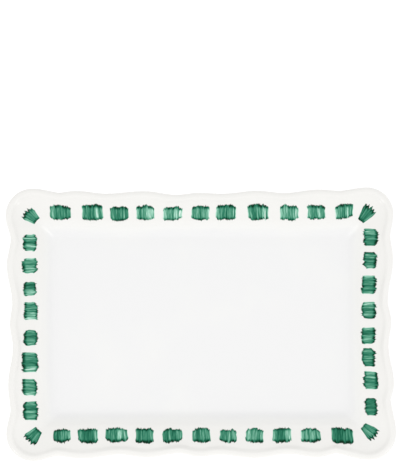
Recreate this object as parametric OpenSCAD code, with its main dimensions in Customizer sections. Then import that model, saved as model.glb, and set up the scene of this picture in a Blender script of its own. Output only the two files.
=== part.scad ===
// Serving platter: a pressed clay body on a low foot ring, glazed face and back,
// and a border of hand-painted brush marks laid on the face glaze.
// The origin is on the table, under the middle. +X runs along the platter and +Y to its back.

/* [Platter] */
// Length over the widest corner lobes
platter_l = 406; // [400:1:420]
// Width over the widest corner lobes
platter_w = 284; // [278:1:296]
// Height from the table to the crest of the lip
platter_h = 26; // [24:0.5:30]
// Radius of the round lobe at each corner
corner_r = 28; // [25:1:30]

/* [Section] */
// Flat rim and lip together, from the top of the well's wall to the edge
rim_run = 30.5; // [30:0.5:34]
// Rise of the flat rim for each millimetre outwards
rim_slope = 0.28; // [0.2:0.01:0.3]
// Width of the raised lip, from the edge to where the flat rim starts
lip_run = 10; // [9:0.5:11]
// Rise of the lip's inner flank, from the flat rim up to its crest
lip_rise = 2.8; // [2:0.1:3.5]
// Radius of the lip's outer roll, above its widest line
lip_r = 4.5; // [4:0.5:5]
// Drop from the lip's widest line to its underside
lip_drop = 3.3; // [3:0.1:4]
// Width of the well's wall in plan
wall_run = 18; // [16:0.5:20]
// Radius in plan where the wall meets the rim at a corner
shoulder_r = 6; // [5:0.5:7]
// Radius in plan of the well floor's corners
floor_r = 8; // [6:0.5:12]

/* [Clay and glaze] */
// Thickness of the clay under the well
floor_t = 5.2; // [4.5:0.1:6]
// Thickness of the clay under the rim, measured upright
rim_t = 5.4; // [5:0.1:6]
// How far the underside of the wall stands outside its face
wall_shift = 2.5; // [2:0.1:3]
// Thickness of the glaze, measured upright
glaze_t = 0.3; // [0.2:0.05:0.5]

/* [Foot ring] */
// Height of the foot ring
foot_h = 3.5; // [2.5:0.5:4]
// Width of the foot ring's standing face
foot_w = 7; // [5:0.5:9]
// Distance from the edge of the well floor in to the outside of the foot ring
foot_inset = 10; // [8:1:14]
// Corner radius of the foot ring's outside
foot_r = 14; // [10:1:18]
// Bare clay left between the foot ring and the glaze
foot_gap = 0.6; // [0.4:0.1:1]

/* [Brush marks] */
// Thickness of the paint
paint_t = 0.2; // [0.1:0.05:0.4]
// How far the bristles fray the ends of a stroke
fray = 0.6; // [0.2:0.1:1]
// Strokes side by side in one mark
mark_strokes = 5; // [4:1:6]
// Strokes in a corner fan
fan_strokes = 5; // [4:1:6]
// Angle that a corner fan's strokes open over
fan_spread = 34; // [26:1:40]

/* [Hidden] */
SIDES = ["back", "left", "front", "right"];
CORNERS = ["back_left", "front_left", "front_right", "back_right"];
wave_steps = 3;                 // points on each half wave of the edge
arc_steps = 8;                  // points on each corner lobe
half = [platter_l / 2, platter_w / 2];
back_right_tuck = 2;            // the back right lobe falls this much short to the right
fan_gap = 0.03;                 // half the hairline between two strokes of a corner fan
round_steps = 64;               // points on a whole circle of the foot ring
through = 1;                    // a cutter runs this far past the faces that it cuts

// Angles that make each stroke end at its own length: [for each mark, for each stroke of it]
OUTER_JITTER = [47, 131];
INNER_JITTER = [83, 97];
FAN_JITTER = [61, 149];

// The crests and troughs between the corner lobes, by hand: [place along the side, depth inside
// the widest line]. Each list starts and ends at a trough, and runs anticlockwise from above.
SCALLOPS = [
    [[145, 3.5], [123, 2], [87, 5.5], [59, 3], [23, 6], [-2, 5],
     [-25, 7], [-59, 3], [-98, 5.5], [-130, 2.5], [-147, 4.5]],
    [[89, 5.5], [62, 1], [23, 6.5], [1, 4], [-23, 7], [-63, 2], [-89, 4.5]],
    [[-150, 5.5], [-124, 2.5], [-85, 6.5], [-57, 3.5], [-23, 7.5], [-2, 4],
     [18, 6], [55, 2.5], [91, 6.5], [121, 3], [140, 7]],
    [[-80, 5.5], [-63, 2], [-23, 7.5], [2, 4.5], [24, 8], [66, 2.5], [91, 5.5]]
];

// The brush marks of each side, as painted: [place along the side, distance of the middle from
// the well's wall, length, width across the rim]. Left to right, and back to front.
MARKS = [
    [[-146, 9.5, 21.5, 14], [-112.5, 9.5, 21.5, 16], [-84.5, 8, 19.5, 14], [-57.5, 9, 18.5, 14],
     [-29, 8, 20.5, 13], [0, 8.5, 18.5, 14], [26.5, 9, 21.5, 15], [60, 9, 21.5, 15],
     [92.5, 8.5, 19.5, 15], [120.5, 8.5, 18.5, 14], [149.5, 9.5, 18.5, 15]],
    [[85.5, 9, 17.5, 13.5], [61.5, 9.5, 15.5, 14.5], [37.5, 9.5, 14.5, 12.5], [14.5, 8.5, 18.5, 13.5],
     [-13.5, 9, 16.5, 13.5], [-39, 9.5, 20.5, 16.5], [-65, 10, 17.5, 14.5], [-89.5, 9.5, 19.5, 14.5]],
    [[-145, 8, 18.5, 12.5], [-118, 8.5, 20.5, 14.5], [-88, 7.5, 23.5, 13], [-59, 8.5, 18.5, 15],
     [-30, 8.5, 20.5, 13.5], [0, 8, 18.5, 13.5], [28, 9, 17.5, 12.5], [55.5, 8.5, 18.5, 13.5],
     [84, 8.5, 19.5, 14.5], [114, 8.5, 20.5, 13.5], [147, 9, 22.5, 16]],
    [[90, 8.5, 17.5, 14], [66, 8, 17.5, 13], [40.5, 6.5, 19.5, 14.5], [14, 6.5, 17.5, 14],
     [-12.5, 6, 17.5, 14], [-35, 6, 19.5, 13], [-59, 8.5, 18.5, 14], [-86.5, 8.5, 18.5, 11.5]]
];
// The corner fans: [inner end, outer end, turn off the diagonal], the ends measured from the point
// that the strokes open from
FANS = [[10.5, 25.5, -5], [10.5, 26.5, 4], [8, 25, -5.5], [7, 25, 6.5]];

// Derived levels. Each surface level is the bare clay's, and the glaze adds its thickness.
crest_z = platter_h - glaze_t;
equator_z = platter_h - lip_r;
rim_base_z = crest_z - lip_rise;
shoulder_z = rim_base_z - rim_slope * (rim_run - lip_run);
floor_z = foot_h + floor_t;

// The straight edge that the scallops swing about lies this far inside the widest line
mean_depth = 4;
// The rim slopes away from this rectangle, by its half sizes. The strokes of a fan open from its
// corners.
field = half - [1, 1] * (mean_depth + rim_run + shoulder_r);
// The well floor, and the rectangle that its round corners are drawn about
floor_half = field + [1, 1] * (shoulder_r - wall_run);
floor_field = floor_half - [1, 1] * floor_r;
foot_half = floor_half - [1, 1] * foot_inset;
foot_field = foot_half - [1, 1] * foot_r;

function mark_name(s, i) = str(SIDES[s], "_mark_", i + 1);
function fan_name(c) = str("corner_fan_", c);

// ---- Edge: waves between round corner lobes ----

// Share of the way from one crest or trough to the next. A notch is a sharper trough beside a
// corner lobe: -1 runs down into it and 1 runs up out of it.
function ease(t, notch) =
    let (smooth = (1 - cos(180 * t)) / 2,
         sharp = notch < 0 ? 1 - cos(90 * t) : sin(90 * t))
    notch == 0 ? smooth : (smooth + sharp) / 2;

// The wavy side between two corner crests, as [place along it, distance from the middle line]
function wavy_side(scallops, reach, first, last, last_depth = 0) =
    let (q = concat([[first, reach]], [for (p = scallops) [p.x, reach - p.y]], [[last, reach - last_depth]]),
         n = len(q) - 1)
    [for (i = [0:n - 1], j = [0:wave_steps - 1])
        let (t = j / wave_steps, notch = i == 0 || i == n - 2 ? -1 : i == 1 || i == n - 1 ? 1 : 0)
        [q[i].x + (q[i + 1].x - q[i].x) * t, q[i].y + (q[i + 1].y - q[i].y) * ease(t, notch)]];

function lobe(centre, from) =
    [for (j = [0:arc_steps - 1])
        let (a = from + 90 * j / arc_steps) centre + corner_r * [cos(a), sin(a)]];

lobe_at = half - [corner_r, corner_r];
back_right_at = lobe_at - [back_right_tuck, 0];

// The whole edge, anticlockwise from above, from the back right corner's crest
EDGE = concat(
    [for (p = wavy_side(SCALLOPS[0], half.y, back_right_at.x, -lobe_at.x)) p],
    lobe([-lobe_at.x, lobe_at.y], 90),
    [for (p = wavy_side(SCALLOPS[1], half.x, lobe_at.y, -lobe_at.y)) [-p.y, p.x]],
    lobe(-lobe_at, 180),
    [for (p = wavy_side(SCALLOPS[2], half.y, -lobe_at.x, lobe_at.x)) [p.x, -p.y]],
    lobe([lobe_at.x, -lobe_at.y], 270),
    [for (p = wavy_side(SCALLOPS[3], half.x, -lobe_at.y, lobe_at.y, back_right_tuck)) [p.y, p.x]],
    lobe(back_right_at, 0)
);

// ---- Section: one spoke for each point of the edge, square to the nearest side ----

function clamp(v, limit) = max(-limit, min(limit, v));

// A spoke is [its foot on the rim's rectangle, its direction, its length to the edge]
function spoke(p) =
    let (foot = [clamp(p.x, field.x), clamp(p.y, field.y)], run = norm(p - foot))
    [foot, (p - foot) / run, run];

SPOKES = [for (p = EDGE) spoke(p)];

// A point on a spoke, by its distance from the spoke's foot and its height
function on_spoke(s, r, z) = let (p = s[0] + r * s[1]) [p.x, p.y, z];

// The same spoke's point on a smaller rectangle with round corners
function on_inner(s, rectangle, r, z) =
    let (p = [s[0].x * rectangle.x / field.x, s[0].y * rectangle.y / field.y] + r * s[1]) [p.x, p.y, z];

// A smooth run from level a to level b, leaving a with the rise slope_a and arriving level
function settle(t, a, slope_a, b) =
    a * (1 + 2 * t) * pow(1 - t, 2) + slope_a * t * pow(1 - t, 2) + b * t * t * (3 - 2 * t);

// Along a side the rim keeps one slope, and round a corner it reaches the lip at one height
function rim_base(s) =
    let (beside = s[1].x == 0 || s[1].y == 0, out = s[2] - lip_run)
    on_spoke(s, out, beside ? shoulder_z + rim_slope * (out - shoulder_r) : rim_base_z);

// The wall between the shoulder and the floor, at the share t of the way down
function wall_point(s, t, shift, top_z, slope, bottom_z) =
    let (a = on_spoke(s, shoulder_r + shift, 0), b = on_inner(s, floor_field, floor_r + shift, 0),
         z = settle(t, top_z, -slope * wall_run, bottom_z))
    a * (1 - t) + b * t + [0, 0, z];

// The face from the edge in to the floor, raised by the glaze g
function face_section(s, g) =
    let (r = lip_r - glaze_t + g, base = rim_base(s), crest = on_spoke(s, s[2] - lip_r, crest_z))
    concat(
        [for (a = [0:30:90]) on_spoke(s, s[2] - lip_r + r * cos(a), equator_z + r * sin(a))],
        [(base + crest) / 2 + [0, 0, g], base + [0, 0, g]],
        [for (t = [0:0.25:1]) wall_point(s, t, 0, shoulder_z + g, rim_slope, floor_z + g)]
    );

// The underside from the edge in to the flat base, lowered by the glaze g
function back_section(s, g) =
    let (r = lip_r - glaze_t + g, drop = lip_drop - glaze_t + g,
         top_z = shoulder_z + rim_slope * wall_shift - rim_t - g)
    concat(
        [for (a = [0:45:90]) on_spoke(s, s[2] - lip_r + r * cos(a), equator_z - drop * sin(a))],
        [rim_base(s) - [0, 0, rim_t + g]],
        [for (t = [0:1/3:1]) wall_point(s, t, wall_shift, top_z, rim_slope, foot_h - g)]
    );

function flip(v) = [for (i = [len(v) - 1:-1:0]) v[i]];

// Turns one list of points for each spoke into one ring for each level
function rings(sections) =
    [for (k = [0:len(sections[0]) - 1]) [for (s = sections) s[k]]];

function middle(ring) = [0, 0, ring[0].z];

// A closed skin through rings that run from the top's middle out and under. Its two ends are
// closed to their middles, or meet each other when it is looped.
module loft(rings, looped = false) {
    n = len(rings[0]);
    m = len(rings);
    bands = [for (k = [0:m - (looped ? 1 : 2)], i = [0:n - 1])
        let (a = k * n, b = ((k + 1) % m) * n, j = (i + 1) % n)
        each [[a + i, a + j, b + j], [a + i, b + j, b + i]]];
    caps = looped ? [] : [for (i = [0:n - 1])
        let (j = (i + 1) % n)
        each [[m * n, j, i], [m * n + 1, (m - 1) * n + i, (m - 1) * n + j]]];
    polyhedron(
        points = concat([for (r = rings) each r], looped ? [] : [middle(rings[0]), middle(rings[m - 1])]),
        faces = concat(bands, caps), convexity = 8);
}

module round_plate(half_size, r, h) {
    linear_extrude(h)
        union() {
            square([2 * half_size.x, 2 * (half_size.y - r)], center = true);
            square([2 * (half_size.x - r), 2 * half_size.y], center = true);
            for (x = [-1, 1], y = [-1, 1])
                translate([x * (half_size.x - r), y * (half_size.y - r)]) circle(r, $fn = round_steps);
        }
}

// ---- Clay ----

module platter_body() {
    top = flip(rings([for (s = SPOKES) face_section(s, 0)]));
    under = rings([for (s = SPOKES) back_section(s, 0)]);
    color("snow") loft(concat(top, [for (k = [1:len(under) - 1]) under[k]]));
}

module foot_ring() {
    color("antiquewhite")
        difference() {
            round_plate(foot_half, foot_r, foot_h);
            translate([0, 0, -through])
                round_plate(foot_half - [foot_w, foot_w], foot_r - foot_w, foot_h + 2 * through);
        }
}

// ---- Glaze ----

module face_glaze() {
    outside = rings([for (s = SPOKES) face_section(s, glaze_t)]);
    inside = rings([for (s = SPOKES) face_section(s, 0)]);
    color("white") loft(concat(flip(outside), inside));
}

module back_glaze() {
    stop = foot_r + foot_gap;
    outside = concat(rings([for (s = SPOKES) back_section(s, glaze_t)]),
                     [[for (s = SPOKES) on_inner(s, foot_field, stop, foot_h - glaze_t)]]);
    inside = concat(rings([for (s = SPOKES) back_section(s, 0)]),
                    [[for (s = SPOKES) on_inner(s, foot_field, stop, foot_h)]]);
    color("ghostwhite") loft(concat(flip(inside), outside), looped = true);
}

module base_glaze() {
    inset = foot_w + foot_gap;
    color("ghostwhite")
        translate([0, 0, foot_h - glaze_t])
            round_plate(foot_half - [inset, inset], foot_r - inset, glaze_t);
}

// ---- Paint ----

// Puts a child drawn with y running up the rim, from the top of the wall, on one side's flat rim
module on_rim(s) {
    reach = s % 2 == 0 ? field.y : field.x;
    rotate([0, 0, 90 * s])
        translate([0, reach + shoulder_r, shoulder_z + glaze_t])
            rotate([atan(rim_slope), 0, 0]) children();
}

// A patch of strokes side by side, with ragged ends
module brush_patch(length, width, strokes, seed) {
    step = length / strokes;
    outer = [for (i = [0:strokes - 1], e = [0, 1])
        [(i + e) * step - length / 2, width / 2 + fray * sin(OUTER_JITTER * [seed, i])]];
    inner = [for (i = [strokes - 1:-1:0], e = [1, 0])
        [(i + e) * step - length / 2, -width / 2 + fray * sin(INNER_JITTER * [seed, i])]];
    linear_extrude(paint_t) polygon(concat(outer, inner));
}

module brush_mark(s, i) {
    m = MARKS[s][i];
    // The front's and the right side's own x axes run backwards
    place = s < 2 ? m.x : -m.x;
    color("seagreen")
        on_rim(s)
            translate([place, m.y / cos(atan(rim_slope)), 0])
                brush_patch(m[2], m[3], mark_strokes, 11 * s + i);
}

// Distance from a fan's opening point to the edge, at the angle a
function lobe_reach(centre, a) =
    let (n = [cos(a), sin(a)], across = centre.x * n.y - centre.y * n.x)
    centre * n + sqrt(corner_r * corner_r - across * across);

module corner_fan(c) {
    mirrored = [c < 2 ? 1 : 0, 0, 0];
    flipped = [0, c == 1 || c == 2 ? 1 : 0, 0];
    centre = (c == 3 ? back_right_at : lobe_at) - field;
    inner_r = FANS[c].x;
    outer_r = FANS[c].y;
    step = fan_spread / (fan_strokes - 1);
    color("seagreen")
        mirror(mirrored) mirror(flipped)
            translate([field.x, field.y, 0])
                for (i = [0:fan_strokes - 1]) {
                    a = 45 + FANS[c].z - fan_spread / 2 + i * step;
                    slope = (rim_base_z - shoulder_z) / (lobe_reach(centre, a) - lip_run - shoulder_r);
                    length = outer_r - inner_r + 2 * fray * sin(FAN_JITTER * [c, i]);
                    inner_w = inner_r * tan(step / 2) - fan_gap;
                    outer_w = (inner_r + length) * tan(step / 2) - fan_gap;
                    rotate([0, 0, a])
                        translate([inner_r, 0, shoulder_z + glaze_t + slope * (inner_r - shoulder_r)])
                            rotate([0, -atan(slope), 0])
                                linear_extrude(paint_t)
                                    polygon([[0, -inner_w], [length, -outer_w], [length + fray, 0],
                                             [length, outer_w], [0, inner_w]]);
                }
}

platter_body();
foot_ring();
face_glaze();
back_glaze();
base_glaze();
for (s = [0:3], i = [0:len(MARKS[s]) - 1])
    brush_mark(s, i);
for (c = [0:3])
    corner_fan(c);
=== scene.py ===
"""A rectangular china platter with a wavy raised lip, a shallow well and a border of green brush dabs.

Everything is in metres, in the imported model's frame: +X along the platter, +Y to its back, +Z up.
"""

import logging
import math
from dataclasses import dataclass, field
from enum import Enum

import bmesh
import bpy
import numpy as np
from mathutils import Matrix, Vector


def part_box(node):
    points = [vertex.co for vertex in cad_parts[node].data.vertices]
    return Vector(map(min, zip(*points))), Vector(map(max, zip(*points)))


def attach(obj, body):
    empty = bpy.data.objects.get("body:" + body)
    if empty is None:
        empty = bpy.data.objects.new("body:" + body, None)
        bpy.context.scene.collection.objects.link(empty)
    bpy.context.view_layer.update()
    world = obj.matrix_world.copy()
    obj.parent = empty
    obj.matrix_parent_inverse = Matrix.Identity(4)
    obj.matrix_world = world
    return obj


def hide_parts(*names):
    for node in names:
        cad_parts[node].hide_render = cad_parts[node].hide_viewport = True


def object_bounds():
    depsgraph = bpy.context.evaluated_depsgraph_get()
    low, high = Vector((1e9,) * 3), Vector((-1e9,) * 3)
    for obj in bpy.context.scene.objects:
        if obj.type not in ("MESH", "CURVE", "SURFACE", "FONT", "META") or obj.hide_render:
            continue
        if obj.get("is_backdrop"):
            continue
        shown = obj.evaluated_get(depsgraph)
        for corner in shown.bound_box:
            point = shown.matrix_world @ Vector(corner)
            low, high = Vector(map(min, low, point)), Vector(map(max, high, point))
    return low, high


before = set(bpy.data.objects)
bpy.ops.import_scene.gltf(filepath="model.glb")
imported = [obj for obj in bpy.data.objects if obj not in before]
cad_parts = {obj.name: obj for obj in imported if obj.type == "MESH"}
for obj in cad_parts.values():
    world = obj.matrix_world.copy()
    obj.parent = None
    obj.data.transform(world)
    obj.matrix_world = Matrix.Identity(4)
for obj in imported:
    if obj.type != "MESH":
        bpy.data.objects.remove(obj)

Pair = tuple[float, float]
Triple = tuple[float, float, float]
Node = bpy.types.Node
Piece = bpy.types.Object

LOG = logging.getLogger("platter")
MM = 0.001
ROOT = "root"
SPOKE = "spoke"
MERGE_WITHIN = 1e-7
CLAY_SMOOTH_BELOW = 40.0
PAINT_SMOOTH_BELOW = 50.0
FULL_LOAD = 9
FIRST_SEED, SIDE_SEED, PLACE_SEED, FAN_SEED = 5, 1000, 17, 500

# Crests and troughs of the wavy edge between the corner lobes, in millimetres, as in the CAD model:
# (place along the side, depth inside the widest line), from trough to trough, anticlockwise.
SCALLOPS = {
    "back": (
        (145, 3.5), (123, 2), (87, 5.5), (59, 3), (23, 6), (-2, 5),
        (-25, 7), (-59, 3), (-98, 5.5), (-130, 2.5), (-147, 4.5),
    ),
    "left": ((89, 5.5), (62, 1), (23, 6.5), (1, 4), (-23, 7), (-63, 2), (-89, 4.5)),
    "front": (
        (-150, 5.5), (-124, 2.5), (-85, 6.5), (-57, 3.5), (-23, 7.5), (-2, 4),
        (18, 6), (55, 2.5), (91, 6.5), (121, 3), (140, 7),
    ),
    "right": ((-80, 5.5), (-63, 2), (-23, 7.5), (2, 4.5), (24, 8), (66, 2.5), (91, 5.5)),
}

# How full the brush was for each stroke of each dab, from 0 (almost dry) to 9 (loaded), as painted:
# left to right on the back and the front, back to front on the left and the right.
LOADS = {
    "back": (
        "67567", "67746", "76767", "35434", "33413", "54554",
        "45664", "57654", "45644", "45645", "34545",
    ),
    "left": ("445735", "566643", "787643", "575533", "677664", "567764", "556564", "767565"),
    "front": (
        "876664", "787774", "666555", "777676", "775766", "656555",
        "667555", "655565", "578854", "455565", "788887",
    ),
    "right": ("556788", "957565", "456665", "456657", "577665", "757657", "455665", "878778"),
}
FAN_LOADS = {
    "back_left": "46555",
    "front_left": "66767",
    "front_right": "66656",
    "back_right": "58777",
}

# Dabs whose strokes step outwards one after another: the slope of their row of strokes, in degrees.
DRIFTS = {"back_mark_3": 3.0, "back_mark_11": 9.0, "front_mark_11": 6.0, "right_mark_1": -2.0}


class Side(Enum):
    """A side of the rim, the direction its dabs are counted in and the direction out to the edge."""

    BACK = ("back", (1.0, 0.0), (0.0, 1.0))
    LEFT = ("left", (0.0, -1.0), (-1.0, 0.0))
    FRONT = ("front", (1.0, 0.0), (0.0, -1.0))
    RIGHT = ("right", (0.0, -1.0), (1.0, 0.0))

    def __init__(self, label: str, along: Pair, outward: Pair) -> None:
        """Keeps the side's label and its two directions."""
        self.label = label
        self.along = np.array(along)
        self.outward = np.array(outward)


class Corner(Enum):
    """A corner of the rim and its fan: label, signs, inner and outer reach, turn, spikes.

    The turn is in degrees from the corner's diagonal. A spike is how far a stroke's tip stands out.
    """

    BACK_LEFT = ("back_left", (-1, 1), (0.0105, 0.0250), -5, 0.0030)
    FRONT_LEFT = ("front_left", (-1, -1), (0.0105, 0.0260), 4, 0.0022)
    FRONT_RIGHT = ("front_right", (1, -1), (0.0080, 0.0245), -5.5, 0.0030)
    BACK_RIGHT = ("back_right", (1, 1), (0.0070, 0.0245), 6.5, 0.0036)

    def __init__(
        self, label: str, signs: tuple[int, int], reach: Pair, turn: float, spike: float
    ) -> None:
        """Keeps the corner's label, its signs and the sizes of its fan."""
        self.label = label
        self.signs = np.array(signs, float)
        self.reach = reach
        self.turn = turn
        self.spike = spike


# ---- Small tools ----


def linear(*display: float) -> tuple[float, ...]:
    """Turns a display colour of 0 to 255 into the linear one that shaders use, with full alpha."""
    shares = [value / 255 for value in display]
    curve = [s / 12.92 if s <= 0.04045 else ((s + 0.055) / 1.055) ** 2.4 for s in shares]
    return (*curve, 1.0)


def smooth(t: np.ndarray) -> np.ndarray:
    """Eases t from 0 to 1, level at both ends."""
    t = np.clip(t, 0.0, 1.0)
    return t * t * (3 - 2 * t)


def settle(
    t: float,
    start: np.ndarray | float,
    start_slope: float,
    end: np.ndarray | float,
    end_slope: float = 0.0,
) -> np.ndarray | float:
    """Runs smoothly from one level to another.

    Args:
        t: Share of the way, from 0 to 1.
        start: Level at the start.
        start_slope: Rise over the whole run that the curve leaves with.
        end: Level at the end.
        end_slope: Rise over the whole run that the curve arrives with.

    Returns:
        The level at t.
    """
    return (
        start * (1 + 2 * t) * (1 - t) ** 2
        + start_slope * t * (1 - t) ** 2
        + end * t * t * (3 - 2 * t)
        + end_slope * t * t * (t - 1)
    )


def wander(rng: np.random.Generator, places: np.ndarray, knots: int) -> np.ndarray:
    """Draws a smooth random line.

    Args:
        rng: The dab's own random numbers.
        places: Where to read the line, from 0 to 1.
        knots: How many random values the line passes through.

    Returns:
        The line's values, from -1 to 1.
    """
    values = rng.uniform(-1, 1, knots + 1)
    spot = np.clip(places, 0, 1) * knots
    low = np.minimum(spot.astype(int), knots - 1)
    share = smooth(spot - low)
    return values[low] * (1 - share) + values[low + 1] * share


def deselect() -> None:
    """Leaves edit mode and deselects every object."""
    if bpy.context.object and bpy.context.object.mode != "OBJECT":
        bpy.ops.object.mode_set(mode="OBJECT")
    bpy.ops.object.select_all(action="DESELECT")


def apply_modifiers(piece: Piece) -> None:
    """Applies every modifier of a piece, in order."""
    deselect()
    piece.select_set(True)
    bpy.context.view_layer.objects.active = piece
    for modifier in list(piece.modifiers):
        bpy.ops.object.modifier_apply(modifier=modifier.name)


def finish_piece(piece: Piece, nodes: list[str], finish: bpy.types.Material) -> None:
    """Dresses a piece and ties it to the CAD model.

    Args:
        piece: The finished mesh.
        nodes: The CAD nodes that the piece stands for.
        finish: The piece's material.
    """
    piece.data.materials.clear()
    piece.data.materials.append(finish)
    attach(piece, ROOT)
    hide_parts(*nodes)
    LOG.info("%s: %d faces, stands for %s", piece.name, len(piece.data.polygons), ", ".join(nodes))


# ---- The rings that the clay and the glaze are drawn through ----


class Ends(Enum):
    """How the first and the last ring of a skin are finished."""

    POLES = "closed to their middles"
    JOINED = "joined to each other"


def place_selected(piece: Piece, ring: np.ndarray) -> None:
    """Moves the selected ring of vertices onto the given points, each by its spoke."""
    mesh = bmesh.from_edit_mesh(piece.data)
    spoke = mesh.verts.layers.int[SPOKE]
    for vertex in mesh.verts:
        if vertex.select:
            vertex.co = ring[vertex[spoke]]
    bmesh.update_edit_mesh(piece.data)


def select_first(piece: Piece, count: int) -> None:
    """Selects the first ring of a mesh in edit mode: its first vertices and their edges."""
    bpy.ops.mesh.select_all(action="DESELECT")
    mesh = bmesh.from_edit_mesh(piece.data)
    for edge in mesh.edges:
        if all(vertex.index < count for vertex in edge.verts):
            edge.select = True
    mesh.select_flush_mode()
    bmesh.update_edit_mesh(piece.data)


def draw_skin(name: str, rings: np.ndarray, ends: Ends) -> Piece:
    """Draws a closed skin by extruding one ring after another.

    Args:
        name: The piece's name.
        rings: Rings of points, each with the same count, as (rings, points, 3).
        ends: How the first and the last ring are finished.

    Returns:
        The closed piece, with its faces outwards.
    """
    count = rings.shape[1]
    deselect()
    bpy.ops.mesh.primitive_circle_add(vertices=count, radius=1.0, fill_type="NOTHING")
    piece = bpy.context.object
    piece.name = name
    spoke = piece.data.attributes.new(SPOKE, "INT", "POINT")
    spoke.data.foreach_set("value", np.arange(count, dtype=np.int32))
    bpy.ops.object.mode_set(mode="EDIT")
    bpy.ops.mesh.select_all(action="SELECT")
    place_selected(piece, rings[0])
    if ends is Ends.POLES:
        bpy.ops.mesh.extrude_region_move()
        bpy.ops.mesh.merge(type="CENTER")
        select_first(piece, count)
    for ring in rings[1:]:
        bpy.ops.mesh.extrude_region_move()
        place_selected(piece, ring)
    bpy.ops.mesh.extrude_region_move()
    if ends is Ends.POLES:
        bpy.ops.mesh.merge(type="CENTER")
    else:
        place_selected(piece, rings[0])
    bpy.ops.mesh.select_all(action="SELECT")
    bpy.ops.mesh.remove_doubles(threshold=MERGE_WITHIN)
    bpy.ops.mesh.normals_make_consistent(inside=False)
    bpy.ops.object.mode_set(mode="OBJECT")
    piece.data.attributes.remove(piece.data.attributes[SPOKE])
    bpy.ops.object.shade_smooth_by_angle(angle=math.radians(CLAY_SMOOTH_BELOW))
    return piece


@dataclass
class Outline:
    """The platter's edge from above: waves between four round corner lobes."""

    half: Pair
    corner_radius: float = 0.028
    back_right_tuck: float = 0.002
    wave_steps: int = 8
    lobe_steps: int = 16

    def ease(self, t: float, notch: int) -> float:
        """Share of the way from one crest or trough to the next.

        The notch is -1 before the sharper trough beside a lobe, 1 after it and otherwise 0.
        """
        soft = (1 - math.cos(math.pi * t)) / 2
        if notch == 0:
            return soft
        sharp = 1 - math.cos(math.pi / 2 * t) if notch < 0 else math.sin(math.pi / 2 * t)
        return (soft + sharp) / 2

    def wavy_side(
        self, side: str, reach: float, first: float, last: float, last_depth: float = 0.0
    ) -> list[Pair]:
        """Points of one side between two corner crests.

        Args:
            side: The side's name in SCALLOPS.
            reach: Distance from the middle out to the side's widest line.
            first: Place of the first corner crest along the side.
            last: Place of the last corner crest.
            last_depth: How far the last crest falls short of the widest line.

        Returns:
            Pairs of place along the side and distance from the middle line.
        """
        knots = [(first, reach)]
        knots += [(place * MM, reach - depth * MM) for place, depth in SCALLOPS[side]]
        knots += [(last, reach - last_depth)]
        points = []
        final = len(knots) - 2
        for index, (a, b) in enumerate(zip(knots, knots[1:])):
            notch = -1 if index in (0, final - 1) else 1 if index in (1, final) else 0
            for step in range(self.wave_steps):
                t = step / self.wave_steps
                out = a[1] + (b[1] - a[1]) * self.ease(t, notch)
                points.append((a[0] + (b[0] - a[0]) * t, out))
        return points

    def lobe(self, centre: Pair, start: float) -> list[Pair]:
        """A quarter circle round a corner, from an angle in degrees, without its last point."""
        radius = self.corner_radius
        points = []
        for step in range(self.lobe_steps):
            angle = math.radians(start + 90 * step / self.lobe_steps)
            points.append((centre[0] + radius * math.cos(angle), centre[1] + radius * math.sin(angle)))
        return points

    def points(self) -> np.ndarray:
        """The whole edge, anticlockwise from the back right corner's crest."""
        x, y = self.half[0] - self.corner_radius, self.half[1] - self.corner_radius
        tucked = x - self.back_right_tuck
        back = self.wavy_side("back", self.half[1], tucked, -x)
        left = self.wavy_side("left", self.half[0], y, -y)
        front = self.wavy_side("front", self.half[1], -x, x)
        right = self.wavy_side("right", self.half[0], -y, y, self.back_right_tuck)
        return np.array(
            back
            + self.lobe((-x, y), 90)
            + [(-q, p) for p, q in left]
            + self.lobe((-x, -y), 180)
            + [(p, -q) for p, q in front]
            + self.lobe((x, -y), 270)
            + [(q, p) for p, q in right]
            + self.lobe((tucked, y), 0)
        )


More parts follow.
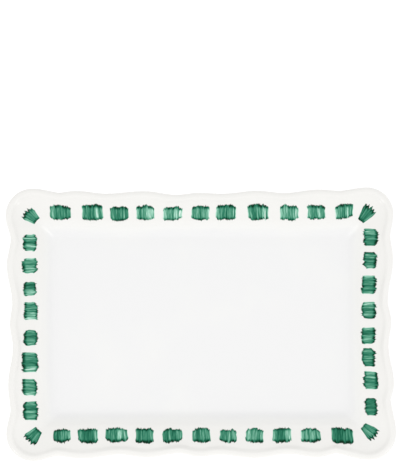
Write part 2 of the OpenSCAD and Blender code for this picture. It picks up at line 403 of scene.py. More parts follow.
@dataclass
class Section:
    """The platter's section on every spoke, from the edge in to the middle, and its levels.

    A spoke stands square to the nearest side of the rim, and the spokes fan out round its corners.
    A run is a distance in plan.
    """

    half: Pair
    height: float
    mean_depth: float = 0.004
    rim_run: float = 0.0305
    rim_slope: float = 0.28
    lip_run: float = 0.010
    lip_rise: float = 0.0028
    lip_roll: float = 0.0045
    lip_squareness: float = 3.0
    crest_run: float = 0.0047
    lip_drop: float = 0.0033
    wall_run: float = 0.018
    shoulder_radius: float = 0.006
    floor_radius: float = 0.008
    floor_thickness: float = 0.0052
    rim_thickness: float = 0.0054
    wall_shift: float = 0.0025
    glaze: float = 0.0003
    foot_height: float = 0.0035
    foot_inset: float = 0.010
    foot_radius: float = 0.014
    foot_gap: float = 0.0006
    floor_sag: float = 0.0003
    corner_spread: float = 0.6
    roll_angles: tuple[float, ...] = (0, 2, 6, 12, 20, 30, 42, 55, 68, 80, 90)
    under_angles: tuple[float, ...] = (0, 8, 18, 30, 45, 60, 75, 90)
    floor_shares: tuple[float, ...] = (0.985, 0.96, 0.91, 0.8, 0.6, 0.4, 0.2, 0.05)
    flank_steps: int = 7
    rim_steps: int = 5
    wall_steps: int = 14
    edge: np.ndarray = field(init=False)
    foot: np.ndarray = field(init=False)
    way: np.ndarray = field(init=False)
    run: np.ndarray = field(init=False)

    def __post_init__(self) -> None:
        """Works out one spoke for each point of the edge, square to the nearest side of the rim."""
        self.edge = Outline(self.half).points()
        self.foot = np.clip(self.edge, -self.rim_field, self.rim_field)
        out = self.edge - self.foot
        self.run = np.linalg.norm(out, axis=1)
        self.way = out / self.run[:, None]

    @property
    def rim_field(self) -> np.ndarray:
        """Half sizes of the rectangle that the rim slopes away from."""
        return np.array(self.half) - (self.mean_depth + self.rim_run + self.shoulder_radius)

    @property
    def floor_field(self) -> np.ndarray:
        """Half sizes of the rectangle that the well floor's round corners are drawn about."""
        return self.rim_field + self.shoulder_radius - self.wall_run - self.floor_radius

    @property
    def foot_half(self) -> np.ndarray:
        """Half sizes of the foot ring's outside."""
        return self.floor_field + self.floor_radius - self.foot_inset

    @property
    def crest_level(self) -> float:
        """Height of the bare lip's crest."""
        return self.height - self.glaze

    @property
    def equator_level(self) -> float:
        """Height of the lip's widest line."""
        return self.height - self.lip_roll

    @property
    def rim_base_level(self) -> float:
        """Height of the bare rim where the lip starts, on a side of average depth."""
        return self.crest_level - self.lip_rise

    @property
    def shoulder_level(self) -> float:
        """Height of the bare rim where the wall starts."""
        return self.rim_base_level - self.rim_slope * (self.rim_run - self.lip_run)

    @property
    def floor_level(self) -> float:
        """Height of the bare well floor at the wall."""
        return self.foot_height + self.floor_thickness

    def at(self, distance: np.ndarray | float, level: np.ndarray | float) -> np.ndarray:
        """Points on every spoke, by their distance from the spoke's foot and their height."""
        flat = self.foot + self.way * np.broadcast_to(distance, self.run.shape)[:, None]
        return np.column_stack([flat, np.broadcast_to(level, self.run.shape)])

    def inner(self, rectangle: np.ndarray, distance: float, level: float) -> np.ndarray:
        """The same spokes' points on a smaller rectangle with round corners."""
        flat = self.foot * rectangle / self.rim_field + self.way * distance
        return np.column_stack([flat, np.broadcast_to(level, self.run.shape)])

    def rim_level(self) -> np.ndarray:
        """Height of the bare rim where the lip starts, on every spoke.

        Along a side the rim keeps one slope. Round a corner it eases to one height.
        """
        out = self.run - self.lip_run
        sloped = self.shoulder_level + self.rim_slope * (out - self.shoulder_radius)
        corner = np.abs(2 * self.way[:, 0] * self.way[:, 1]) ** self.corner_spread
        return sloped * (1 - corner) + self.rim_base_level * corner

    def wall(self, t: float, shift: float, top: float, bottom: float) -> np.ndarray:
        """A ring on the wall at the share t of the way down to the floor."""
        upper = self.at(self.shoulder_radius + shift, 0.0)
        lower = self.inner(self.floor_field, self.floor_radius + shift, 0.0)
        level = settle(t, top, -self.rim_slope * self.wall_run, bottom)
        return upper * (1 - t) + lower * t + np.array([0.0, 0.0, level])

    def face(self, raised: float) -> np.ndarray:
        """Rings of the face from the edge in to the middle, raised by the glaze."""
        roll = self.lip_roll - self.glaze + raised
        power = 2 / self.lip_squareness
        centre = self.run - self.lip_roll
        rings = []
        for angle in map(math.radians, self.roll_angles):
            across = max(math.cos(angle), 0.0) ** power
            up = math.sin(angle) ** power
            rings.append(self.at(centre + roll * across, self.equator_level + roll * up))
        crest, base = self.crest_level + raised, self.rim_level() + raised
        flank = self.lip_run - self.crest_run
        for step in range(self.flank_steps + 1):
            t = step / self.flank_steps
            level = settle(t, crest, 0.0, base, -self.rim_slope * flank)
            rings.append(self.at(self.run - self.crest_run - flank * t, level))
        shoulder = self.shoulder_level + raised
        for step in range(1, self.rim_steps):
            t = step / self.rim_steps
            distance = (self.run - self.lip_run) * (1 - t) + self.shoulder_radius * t
            rings.append(self.at(distance, base * (1 - t) + shoulder * t))
        floor = self.floor_level + raised
        for step in range(self.wall_steps + 1):
            rings.append(self.wall(step / self.wall_steps, 0.0, shoulder, floor))
        return np.array(rings + self.floor_rings(rings[-1], floor))

    def floor_rings(self, last: np.ndarray, level: float) -> list[np.ndarray]:
        """Rings that close in from the wall's foot to the middle of a floor that sags a little."""
        rings = []
        for share in self.floor_shares:
            ring = last * share
            ring[:, 2] = level - self.floor_sag * (1 - share**2)
            rings.append(ring)
        return rings

    def underside(self, lowered: float) -> np.ndarray:
        """Rings of the underside from the edge in to the foot of the wall, lowered by the glaze."""
        roll = self.lip_roll - self.glaze + lowered
        drop = self.lip_drop - self.glaze + lowered
        centre = self.run - self.lip_roll
        rings = []
        for angle in map(math.radians, self.under_angles):
            distance = centre + roll * math.cos(angle)
            rings.append(self.at(distance, self.equator_level - drop * math.sin(angle)))
        under_lip = self.equator_level - drop
        under_rim = self.rim_level() - self.rim_thickness - lowered
        fall = -self.rim_slope * (self.lip_run - self.lip_roll)
        for step in range(1, self.flank_steps + 1):
            t = step / self.flank_steps
            level = settle(t, under_lip, 0.0, under_rim, fall)
            rings.append(self.at(self.run - self.lip_roll * (1 - t) - self.lip_run * t, level))
        top = self.shoulder_level + self.rim_slope * self.wall_shift - self.rim_thickness - lowered
        reach = self.shoulder_radius + self.wall_shift
        for step in range(1, self.rim_steps):
            t = step / self.rim_steps
            distance = (self.run - self.lip_run) * (1 - t) + reach * t
            rings.append(self.at(distance, under_rim * (1 - t) + top * t))
        base = self.foot_height - lowered
        for step in range(self.wall_steps + 1):
            rings.append(self.wall(step / self.wall_steps, self.wall_shift, top, base))
        return np.array(rings)


# ---- Finishes ----


class Board:
    """The node tree of a material or a world, started empty."""

    def __init__(self, owner: bpy.types.Material | bpy.types.World) -> None:
        """Clears the owner's node tree."""
        owner.use_nodes = True
        self.tree = owner.node_tree
        self.tree.nodes.clear()

    def add(self, kind: str, **settings: object) -> Node:
        """Adds a node and sets its properties."""
        node = self.tree.nodes.new(kind)
        for name, value in settings.items():
            setattr(node, name, value)
        return node

    def link(self, source: Node, out: str | int, target: Node, socket: str | int) -> None:
        """Joins an output to an input."""
        self.tree.links.new(source.outputs[out], target.inputs[socket])


class Shading(Board):
    """A drawing board for one procedural material."""

    def __init__(self, name: str) -> None:
        """Starts a material with a Principled shader and its output."""
        self.material = bpy.data.materials.new(name)
        super().__init__(self.material)
        output = self.add("ShaderNodeOutputMaterial")
        self.shader = self.add("ShaderNodeBsdfPrincipled")
        self.link(self.shader, "BSDF", output, "Surface")

    def noise(self, place: Node, out: str, scale: float, detail: float = 2.0) -> Node:
        """Adds a noise texture that reads the given coordinates."""
        node = self.add("ShaderNodeTexNoise")
        node.inputs["Scale"].default_value = scale
        node.inputs["Detail"].default_value = detail
        self.link(place, out, node, "Vector")
        return node

    def stretch(self, source: Node, out: str, scale: Triple) -> Node:
        """Adds a mapping that scales coordinates by different amounts."""
        node = self.add("ShaderNodeMapping")
        node.inputs["Scale"].default_value = scale
        self.link(source, out, node, "Vector")
        return node

    def span(self, source: Node, low: float, high: float) -> Node:
        """Adds a node that maps a first output's range of 0 to 1 onto low to high."""
        node = self.add("ShaderNodeMapRange")
        node.inputs["To Min"].default_value = low
        node.inputs["To Max"].default_value = high
        self.link(source, 0, node, "Value")
        return node

    def sums(self, operation: str, first: Node, second: Node | float) -> Node:
        """Adds a maths node on one or two nodes' first outputs."""
        node = self.add("ShaderNodeMath", operation=operation)
        self.link(first, 0, node, 0)
        if isinstance(second, float):
            node.inputs[1].default_value = second
        else:
            self.link(second, 0, node, 1)
        return node

    def ramp(self, source: Node, *stops: tuple[float, Triple]) -> Node:
        """Adds a colour ramp on a node's first output; a stop is a place and a display colour."""
        node = self.add("ShaderNodeValToRGB")
        elements = node.color_ramp.elements
        while len(elements) > 1:
            elements.remove(elements[-1])
        elements[0].position = stops[0][0]
        elements[0].color = linear(*stops[0][1])
        for position, colour in stops[1:]:
            elements.new(position).color = linear(*colour)
        self.link(source, 0, node, "Fac")
        return node

    def bump(self, height: Node, strength: float, distance: float) -> None:
        """Joins a height, a node's first output, to the shader's normal."""
        node = self.add("ShaderNodeBump")
        node.inputs["Strength"].default_value = strength
        node.inputs["Distance"].default_value = distance
        self.link(height, 0, node, "Height")
        self.link(node, "Normal", self.shader, "Normal")


@dataclass(frozen=True)
class WhiteGlaze:
    """A white gloss glaze, thin and a little warm on the lip and thick in the well, with painted
    light: a shade lighter on the well's walls to lift the shade that falls there.

    Soft clouds vary its colour, patches vary its roughness, and slow ripples bend its reflections.
    """

    name: str
    thin: Triple = (229, 228, 225)
    # Painted light: the walls' colour is a little lighter than the lip's and the floor's, a painted
    # lift of the shade on the well's walls.
    wall: Triple = (232, 232, 230)
    thick: Triple = (229, 229, 229)
    roughness: Pair = (0.12, 0.20)
    cloud_scale: float = 14.0
    cloud_swing: float = 0.25
    patch_scale: float = 45.0
    ripple_scale: float = 60.0
    ripple_strength: float = 0.25
    ripple_height: float = 0.0003
    coat: float = 0.10

    def material(self) -> bpy.types.Material:
        """Builds the glaze's material."""
        board = Shading(self.name)
        place = board.add("ShaderNodeTexCoord")
        depth = board.add("ShaderNodeAttribute", attribute_name="glaze_depth_and_wall_light")
        cloud = board.noise(place, "Object", self.cloud_scale, 3.0)
        blend = board.sums("ADD", board.span(cloud, -self.cloud_swing, self.cloud_swing), depth)
        # Painted light: the ramp's lighter middle stop paints the well's walls brighter than the lip
        # and the floor.
        colour = board.ramp(blend, (0.4, self.thin), (0.8, self.wall), (1.0, self.thick))
        board.link(colour, "Color", board.shader, "Base Color")
        patches = board.noise(place, "Object", self.patch_scale, 2.0)
        board.link(board.span(patches, *self.roughness), 0, board.shader, "Roughness")
        board.shader.inputs["IOR"].default_value = 1.5
        board.shader.inputs["Coat Weight"].default_value = self.coat
        board.shader.inputs["Coat Roughness"].default_value = 0.04
        ripples = board.noise(place, "Object", self.ripple_scale, 1.0)
        board.bump(ripples, self.ripple_strength, self.ripple_height)
        return board.material


@dataclass(frozen=True)
class GreenPaint:
    """Fired green brush colour, minty where the brush ran dry and near black where it pooled.

    The tones go by half the paint's thickness. The stretches are how often the noise repeats across
    and along a dab's strokes.
    """

    name: str = "green_brush_colour"
    tones: tuple[tuple[float, Triple], ...] = (
        (0.02, (230, 233, 229)),
        (0.09, (160, 213, 192)),
        (0.14, (120, 178, 153)),
        (0.19, (92, 156, 131)),
        (0.24, (63, 135, 108)),
        (0.30, (42, 116, 90)),
        (0.37, (22, 95, 71)),
        (0.46, (4, 76, 53)),
        (0.58, (0, 46, 26)),
    )
    streak: float = 0.36
    fine_share: float = 0.7
    hair_stretch: Triple = (13.0, 1.8, 1.0)
    fine_stretch: Triple = (60.0, 3.0, 1.0)
    roughness: float = 0.16
    specular: float = 0.08

    def material(self) -> bpy.types.Material:
        """Builds the material from each dab's coat of paint and its brushed coordinates."""
        board = Shading(self.name)
        coat = board.add("ShaderNodeAttribute", attribute_name="paint_coat")
        brushed = board.add("ShaderNodeUVMap", uv_map="UVMap")
        hair = board.noise(board.stretch(brushed, "UV", self.hair_stretch), "Vector", 1.0, 3.0)
        fine = board.noise(board.stretch(brushed, "UV", self.fine_stretch), "Vector", 1.0)
        load = coat
        for noise, swing in ((hair, self.streak), (fine, self.fine_share * self.streak)):
            load = board.sums("ADD", load, board.span(noise, -swing, swing))
        half_load = board.sums("MULTIPLY", load, 0.5)
        board.link(board.ramp(half_load, *self.tones), "Color", board.shader, "Base Color")
        board.shader.inputs["Roughness"].default_value = self.roughness
        board.shader.inputs["IOR"].default_value = 1.5
        board.shader.inputs["Specular IOR Level"].default_value = self.specular
        board.bump(hair, 0.3, 0.00015)
        return board.material


@dataclass(frozen=True)
class BareClay:
    """Bare fired clay: matte, warm white and finely grained, with a few dark specks."""

    name: str = "bare_clay"
    light: Triple = (226, 219, 207)
    dark: Triple = (205, 194, 178)

    def material(self) -> bpy.types.Material:
        """Builds the clay's material."""
        board = Shading(self.name)
        place = board.add("ShaderNodeTexCoord")
        grain = board.noise(place, "Object", 900.0, 4.0)
        colour = board.ramp(grain, (0.35, self.dark), (0.6, self.light))
        board.link(colour, "Color", board.shader, "Base Color")
        board.shader.inputs["Roughness"].default_value = 0.85
        board.bump(grain, 0.5, 0.0002)
        return board.material


# ---- The clay and its glaze ----


@dataclass
class Platter:
    """The pressed clay, its foot ring and its three coats of glaze."""

    section: Section
    foot_width: float = 0.007
    foot_round: float = 0.0012
    coat_round: float = 0.0004
    round_share: float = 0.7
    panel_shares: Pair = (0.1, 0.5)
    foot_corner_steps: int = 12
    foot_angles: tuple[float, ...] = (22.5, 45, 67.5, 90)

    def mark_depth(self, piece: Piece) -> None:
        """Writes how deep the glaze lies at each vertex, 0 on the lip and 1 at the wall's foot; the
        glaze's ramp also uses it to paint the walls lighter, as painted light.
        """
        count = len(piece.data.vertices)
        places = np.zeros(count * 3, np.float32)
        piece.data.vertices.foreach_get("co", places)
        level = places.reshape(-1, 3)[:, 2]
        low, high = self.section.floor_level, self.section.crest_level
        depth = 1 - smooth((level - low) / (high - low))
        layer = piece.data.attributes.new("glaze_depth_and_wall_light", "FLOAT", "POINT")
        layer.data.foreach_set("value", depth.astype(np.float32))

    def body(self) -> Piece:
        """The clay from lip to lip, under the glaze."""
        under = self.section.underside(0.0)
        base = self.section.floor_rings(under[-1], self.section.foot_height)
        for ring in base:
            ring[:, 2] = self.section.foot_height
        rings = np.concatenate([self.section.face(0.0)[::-1], under[1:], np.array(base)])
        return draw_skin("clay_body", rings, Ends.POLES)

    def face_coat(self) -> Piece:
        """The glaze over the whole face, round to the lip's widest line."""
        outside = self.section.face(self.section.glaze)[::-1]
        inside = self.section.face(0.0)
        return draw_skin("face_coat", np.concatenate([outside, inside]), Ends.POLES)

    def back_coat(self) -> Piece:
        """The glaze of the underside, from the lip to just short of the foot ring."""
        section = self.section
        rectangle = section.foot_half - section.foot_radius
        stop = section.foot_radius + section.foot_gap
        base, glaze = section.foot_height, section.glaze
        rounded = [
            section.inner(rectangle, stop + self.coat_round, base - glaze),
            section.inner(rectangle, stop + self.coat_round / 4, base - glaze * self.round_share),
            section.inner(rectangle, stop, base),
        ]
        rings = [section.underside(0.0)[::-1], section.underside(glaze), np.array(rounded)]
        return draw_skin("back_coat", np.concatenate(rings), Ends.JOINED)

    def round_rectangle(self, inset: float, level: float) -> np.ndarray:
        """A ring inside the foot ring's outside, with round corners."""
        half = self.section.foot_half - self.section.foot_radius
        radius = self.section.foot_radius - inset
        ring = []
        for index, signs in enumerate(((1, 1), (-1, 1), (-1, -1), (1, -1))):
            for step in range(self.foot_corner_steps + 1):
                angle = math.radians(90 * (index + step / self.foot_corner_steps))
                x, y = half * signs
                ring.append((x + radius * math.cos(angle), y + radius * math.sin(angle), level))
        return np.array(ring)

    def foot_ring(self) -> Piece:
        """The ring of bare clay that the platter stands on, with both lower edges rounded."""
        top, soft, width = self.section.foot_height, self.foot_round, self.foot_width
        outer = [(0.0, top), (0.0, top * self.round_share), (0.0, soft)]
        for angle in map(math.radians, self.foot_angles):
            outer.append((soft * (1 - math.cos(angle)), soft * (1 - math.sin(angle))))
        inner = [(width - inset, level) for inset, level in outer[::-1]]
        profile = [*outer, (width / 2, 0.0), *inner]
        rings = np.array([self.round_rectangle(inset, level) for inset, level in profile])
        return draw_skin("foot_clay", rings, Ends.JOINED)

    def base_coat(self) -> Piece:
        """The glazed panel inside the foot ring."""
        edge = self.foot_width + self.section.foot_gap
        top, glaze = self.section.foot_height, self.section.glaze
        rings = [
            self.round_rectangle(edge, top),
            self.round_rectangle(edge + self.coat_round / 4, top - glaze * self.round_share),
            self.round_rectangle(edge + self.coat_round, top - glaze),
            self.round_rectangle(edge + 2 * self.coat_round, top - glaze),
        ]
        upper = [rings[0] * [share, share, 1] for share in self.panel_shares]
        lower = [rings[-1] * [share, share, 1] for share in self.panel_shares[::-1]]
        return draw_skin("base_coat", np.array(upper + rings + lower), Ends.POLES)

    def build(self) -> Piece:
        """Builds and dresses the five pieces, and returns the face glaze to paint on."""
        clay = BareClay().material()
        face_glaze = WhiteGlaze("face_glaze_gloss").material()
        # Painted light: the underside's middle colour is a little lighter too, painted on its walls.
        back_glaze = WhiteGlaze(
            "back_glaze_gloss", (226, 224, 219), (227, 226, 221), (227, 226, 222), (0.16, 0.28)
        ).material()
        finish_piece(self.body(), ["platter_body"], clay)
        finish_piece(self.foot_ring(), ["foot_ring"], clay)
        face = self.face_coat()
        self.mark_depth(face)
        finish_piece(face, ["face_glaze"], face_glaze)
        for piece, node in ((self.back_coat(), "back_glaze"), (self.base_coat(), "base_glaze")):
            self.mark_depth(piece)
            finish_piece(piece, [node], back_glaze)
        return face


# ---- The painted border ----


@dataclass(frozen=True)
class Pool:
    """Paint that gathers at one end of a dab, unevenly from bristle to bristle."""

    start: float
    run: float
    mean: float
    swing: float
    knots: int
    weight: float

    def over(self, rng: np.random.Generator, u: np.ndarray, v: np.ndarray) -> np.ndarray:
        """Thickness that the pool adds at each vertex, with v as 1 at the pool's end of the dab."""
        uneven = self.mean + self.swing * wander(rng, u, self.knots)
        return self.weight * (smooth((v - self.start) / self.run) * uneven)


@dataclass
class BrushWork:
    """What every dab and fan shares: how bristles end, how paint lies and how it is laid on.

    Thicknesses of paint are shares of a full coat. Streaks are the weight, lean and knots of random
    lines along the strokes. A seam's place and width are shares of a stroke.
    """

    surface: Piece
    hair: float = 0.00035
    rows: int = 20
    fray: float = 0.0011
    fray_shares: Pair = (0.6, 0.3)
    tooth: float = 0.0011
    tooth_hairs: float = 3.5
    stroke_shift: float = 0.0007
    rounding: Pair = (0.0012, 0.0036)
    rounding_power: int = 4
    film: float = 0.00005
    relief: float = 0.00012
    depth: float = 0.0002
    drop_from: float = 0.1
    thinnest: float = 0.18
    by_load: float = 0.60
    stroke_wobble: float = 0.25
    merge_from: float = 0.7
    streaks: tuple[tuple[float, float, int], ...] = ((0.15, 0.01, 30), (0.12, -0.015, 13))
    seams: Pair = (-0.16, 0.12)
    seam_place: float = 0.96
    seam_width: float = 0.07
    outer_pool: Pool = Pool(0.50, 0.32, 0.55, 0.6, 18, 0.78)
    inner_pool: Pool = Pool(0.62, 0.28, 0.5, 0.55, 17, 0.62)
    worn_middle: float = 0.10
    dry_below: float = 0.95
    dry_loss: float = 0.62
    dry_width: float = 0.09

    def coat(self, rng: np.random.Generator, u: np.ndarray, v: np.ndarray, loads: str) -> np.ndarray:
        """Thickness of the paint over a dab: about 0.2 where it is dry, over 1 where it pools.

        Args:
            rng: The dab's own random numbers.
            u: Place across the strokes, from 0 to 1, one for each vertex.
            v: Place along the strokes, from -1 at the inner end to 1 at the outer end.
            loads: How full the brush was for each stroke.

        Returns:
            One value for each vertex.
        """
        count = len(loads)
        fullness = np.array([int(digit) / FULL_LOAD for digit in loads])
        wobble = self.stroke_wobble * wander(rng, (v + 1) / 2, 3)
        spot = np.clip(u * count + wobble, 0, count - 1e-6)
        stroke = spot.astype(int)
        ahead = np.minimum(stroke + 1, count - 1)
        share = smooth((spot - stroke - self.merge_from) / (1 - self.merge_from))
        carried = fullness[stroke] * (1 - share) + fullness[ahead] * share
        paint = self.thinnest + self.by_load * carried
        paint += sum(weight * wander(rng, u + lean * v, knots) for weight, lean, knots in self.streaks)
        seams = rng.uniform(*self.seams, count)[stroke]
        paint += seams * np.exp(-(((spot - stroke) - self.seam_place) / self.seam_width) ** 2)
        paint += self.outer_pool.over(rng, u, v) + self.inner_pool.over(rng, u, -v)
        paint -= self.worn_middle * (1 - v * v)
        end_stroke = np.where(u < 0.5, fullness[0], fullness[-1])
        dry = np.clip(2 * (self.dry_below - end_stroke), 0, 1)
        at_side = 1 - smooth(np.minimum(u, 1 - u) / self.dry_width)
        return paint * (1 - self.dry_loss * dry * at_side)

    def ends(
        self, rng: np.random.Generator, u: np.ndarray, loads: str, columns: int
    ) -> tuple[np.ndarray, np.ndarray]:
        """How far the bristles overrun the outer and the inner end at each vertex's place across."""
        stroke = np.minimum((u * len(loads)).astype(int), len(loads) - 1)
        coarse, fine = self.fray_shares
        result = []
        for _ in ("outer", "inner"):
            shifts = rng.uniform(-1, 1, len(loads))[stroke] * self.stroke_shift
            frayed = coarse * wander(rng, u, columns // 3) + fine * wander(rng, u, columns // 2)
            teeth = np.abs(np.sin(math.pi * columns * u / self.tooth_hairs)) - 0.5
            corners = np.where(u < 0.5, rng.uniform(*self.rounding), rng.uniform(*self.rounding))
            rounded = corners * np.abs(2 * u - 1) ** self.rounding_power
            result.append(shifts + (self.fray * frayed + self.tooth * teeth) - rounded)
        return result[0], result[1]

    def lay(
        self, name: str, places: np.ndarray, paint: np.ndarray, columns: int, mirrored: bool
    ) -> Piece:
        """Lays a dab's paint on the glaze.

        Args:
            name: The piece's name.
            places: Where each vertex lies from above, as (vertices, 2).
            paint: The thickness of the paint at each vertex.
            columns: Bristles across the dab.
            mirrored: Whether the places run clockwise.

        Returns:
            The closed, raised patch of paint.
        """
        deselect()
        bpy.ops.mesh.primitive_grid_add(
            x_subdivisions=columns, y_subdivisions=self.rows, size=1.0, calc_uvs=True
        )
        piece = bpy.context.object
        piece.name = name
        above = np.column_stack([places, np.full(len(places), self.drop_from)])
        piece.data.vertices.foreach_set("co", above.astype(np.float32).ravel())
        layer = piece.data.attributes.new("paint_coat", "FLOAT", "POINT")
        layer.data.foreach_set("value", paint.astype(np.float32))
        if mirrored:
            bpy.ops.object.mode_set(mode="EDIT")
            bpy.ops.mesh.select_all(action="SELECT")
            bpy.ops.mesh.flip_normals()
            bpy.ops.object.mode_set(mode="OBJECT")
        group = piece.vertex_groups.new(name="raised")
        for index, weight in enumerate(np.clip(paint, 0, 1)):
            group.add([index], float(weight), "REPLACE")
        drop = piece.modifiers.new("drop_on_glaze", "SHRINKWRAP")
        drop.target = self.surface
        drop.wrap_method = "PROJECT"
        drop.use_project_z = True
        drop.use_negative_direction = True
        drop.use_positive_direction = False
        drop.offset = self.film
        lift = piece.modifiers.new("lift_thick_paint", "DISPLACE")
        lift.direction = "Z"
        lift.mid_level = 0.0
        lift.strength = self.relief
        lift.vertex_group = group.name
        solid = piece.modifiers.new("sink_in_glaze", "SOLIDIFY")
        solid.thickness = self.depth
        solid.offset = -1.0
        apply_modifiers(piece)
        piece.vertex_groups.clear()
        bpy.ops.object.shade_smooth_by_angle(angle=math.radians(PAINT_SMOOTH_BELOW))
        return piece


@dataclass
class Border:
    """The dabs along the four sides and the fans in the corners.

    A dab leans a little and its sides wobble. A fan spreads, in degrees, from a point fan_back behind
    the corner of the rim's inner rectangle.
    """

    brush: BrushWork
    section: Section
    dab_lean: float = 0.06
    dab_wobble: float = 0.0004
    fan_spread: float = 31.0
    fan_back: float = 0.006
    fan_inner_share: float = 0.3
    finish: bpy.types.Material = field(default_factory=lambda: GreenPaint().material())

    def grid(self, columns: int) -> tuple[np.ndarray, np.ndarray]:
        """Place of each vertex of a dab's grid, across and along its strokes."""
        rows = np.sin(math.pi / 2 * np.linspace(-1, 1, self.brush.rows + 1))
        u, v = np.meshgrid(np.linspace(0, 1, columns + 1), rows)
        return u.ravel(), v.ravel()

    def node(self, side: Side, index: int) -> str:
        """Name of the CAD node of a side's dab, by its place from 0."""
        return f"{side.label}_mark_{index + 1}"

    def dab(self, side: Side, index: int) -> Piece:
        """Paints one dab of a side, counted from 0, where its CAD node lies."""
        node = self.node(side, index)
        low, high = (np.array(corner)[:2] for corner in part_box(node))
        middle = (low + high) / 2
        length = abs((high - low) @ side.along)
        width = abs((high - low) @ side.outward)
        loads = LOADS[side.label][index]
        seed = FIRST_SEED + SIDE_SEED * list(Side).index(side) + PLACE_SEED * index
        rng = np.random.default_rng(seed)
        columns = int(length / self.brush.hair)
        u, v = self.grid(columns)
        outer, inner = self.brush.ends(rng, u, loads, columns)
        lean = rng.uniform(-self.dab_lean, self.dab_lean)
        across = v * (width / 2 + np.where(v > 0, outer, inner))
        wobble = self.dab_wobble * wander(rng, (v + 1) / 2, 3) * (2 * u - 1)
        along = (u - 0.5) * length + lean * across + wobble
        across += math.tan(math.radians(DRIFTS.get(node, 0.0))) * along
        places = middle + along[:, None] * side.along + across[:, None] * side.outward
        paint = self.brush.coat(rng, u, v, loads)
        mirrored = side.along[0] * side.outward[1] - side.along[1] * side.outward[0] < 0
        return self.brush.lay(node.replace("mark", "dab"), places, paint, columns, mirrored)

    def fan(self, corner: Corner) -> Piece:
        """Paints the fan of strokes in one corner."""
        loads = FAN_LOADS[corner.label]
        rng = np.random.default_rng(FAN_SEED + list(Corner).index(corner))
        start, end = corner.reach
        columns = int((end + self.fan_back) * math.radians(self.fan_spread) / self.brush.hair)
        u, v = self.grid(columns)
        outer, inner = self.brush.ends(rng, u, loads, columns)
        tips = 1 - np.abs(2 * (u * len(loads) % 1) - 1)
        share = (v + 1) / 2
        tip = end + outer + corner.spike * (tips - 0.5)
        radius = self.fan_back + (start - self.fan_inner_share * inner) * (1 - share) + tip * share
        angle = np.radians(45 + corner.turn + (u - 0.5) * self.fan_spread)
        fanned = radius[:, None] * np.column_stack([np.cos(angle), np.sin(angle)])
        middle = math.radians(45 + corner.turn)
        back = self.fan_back * np.array([math.cos(middle), math.sin(middle)])
        places = (self.section.rim_field - back + fanned) * corner.signs
        paint = self.brush.coat(rng, u, v, loads)
        mirrored = corner.signs[0] * corner.signs[1] > 0
        return self.brush.lay(f"fan_{corner.label}", places, paint, columns, mirrored)

    def build(self) -> None:
        """Paints and dresses every dab and fan."""
        for side in Side:
            for index in range(len(LOADS[side.label])):
                nodes = [self.node(side, index)]
                finish_piece(self.dab(side, index), nodes, self.finish)
        for corner in Corner:
            nodes = [f"corner_fan_{corner.label}"]
            finish_piece(self.fan(corner), nodes, self.finish)


# ---- The studio ----


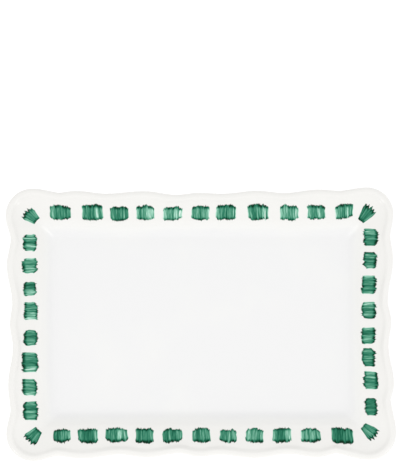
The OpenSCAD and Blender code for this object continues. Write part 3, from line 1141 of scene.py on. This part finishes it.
@dataclass
class Studio:
    """A glowing white floor, a bright even room, two strip softboxes in front and the camera.

    The room's light is room_light at its mean, with overhead_light more straight overhead and
    key_light more from the front, turned by key_turn degrees to the right.
    """

    aim: Pair = (-0.0006, 0.0961)
    distance: float = 8.0
    frame_height: float = 0.4832
    lip_level: float = 0.02
    roll: float = -0.0035
    sensor: float = 36.0
    floor_size: float = 12.0
    floor_glow: float = 0.85
    floor_paint: float = 0.27
    room_light: float = 1.31
    overhead_light: float = 0.1
    key_light: float = 0.165
    key_turn: float = 5.0
    softbox_place: Triple = (1.1, -1.0, 1.3)
    softbox_size: Pair = (0.3, 1.2)
    softbox_watts: float = 2.0

    def camera(self) -> None:
        """Looks straight down through a very long lens."""
        data = bpy.data.cameras.new("camera")
        camera = bpy.data.objects.new("camera", data)
        bpy.context.scene.collection.objects.link(camera)
        camera.location = (*self.aim, self.distance)
        camera.rotation_euler = (0.0, 0.0, self.roll)
        data.sensor_width = self.sensor
        data.lens = self.sensor * (self.distance - self.lip_level) / self.frame_height
        data.clip_start = 0.1
        data.clip_end = 50.0
        bpy.context.scene.camera = camera

    def floor(self) -> None:
        """Lays a plain white floor under the foot ring."""
        deselect()
        bpy.ops.mesh.primitive_plane_add(size=self.floor_size)
        floor = bpy.context.object
        floor.name = "studio_floor"
        board = Shading("white_floor")
        board.shader.inputs["Base Color"].default_value = (*(self.floor_paint,) * 3, 1.0)
        board.shader.inputs["Roughness"].default_value = 0.9
        board.shader.inputs["Specular IOR Level"].default_value = 0.0
        board.shader.inputs["Emission Color"].default_value = (1.0, 1.0, 1.0, 1.0)
        board.shader.inputs["Emission Strength"].default_value = self.floor_glow
        floor.data.materials.append(board.material)
        floor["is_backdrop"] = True

    def room(self) -> None:
        """Lights the scene softly from all round, a little more from overhead and from the front."""
        world = bpy.data.worlds.new("bright_room")
        bpy.context.scene.world = world
        board = Board(world)
        output = board.add("ShaderNodeOutputWorld")
        sky = board.add("ShaderNodeBackground")
        place = board.add("ShaderNodeTexCoord")
        lean = board.add("ShaderNodeVectorMath", operation="DOT_PRODUCT")
        turn = math.radians(self.key_turn)
        lean.inputs[1].default_value = (
            self.key_light * math.sin(turn),
            -self.key_light * math.cos(turn),
            self.overhead_light,
        )
        total = board.add("ShaderNodeMath", operation="ADD")
        total.inputs[1].default_value = self.room_light
        board.link(place, "Generated", lean, 0)
        board.link(lean, "Value", total, 0)
        board.link(total, 0, sky, "Strength")
        board.link(sky, 0, output, "Surface")

    def softboxes(self) -> None:
        """Adds two upright strip softboxes in front that glint in the corners of the well."""
        x, y, z = self.softbox_place
        for name, side in (("softbox_left", -1), ("softbox_right", 1)):
            data = bpy.data.lights.new(name, "AREA")
            data.shape = "RECTANGLE"
            data.size, data.size_y = self.softbox_size
            data.energy = self.softbox_watts
            light = bpy.data.objects.new(name, data)
            bpy.context.scene.collection.objects.link(light)
            light.location = (side * x, y, z)
            light.rotation_euler = (-light.location).to_track_quat("-Z", "Y").to_euler()

    def build(self) -> None:
        """Sets the camera, the floor and the lights, and a plain view of the result."""
        self.camera()
        self.floor()
        self.room()
        self.softboxes()
        bpy.context.scene.view_settings.view_transform = "Standard"
        bpy.context.scene.view_settings.look = "None"


def main() -> None:
    """Builds the platter and its studio."""
    logging.basicConfig(level=logging.INFO, format="%(name)s %(message)s")
    low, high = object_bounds()
    Studio().build()
    section = Section((high.x, high.y), high.z)
    face = Platter(section).build()
    Border(BrushWork(face), section).build()


if __name__ == "__main__":
    main()
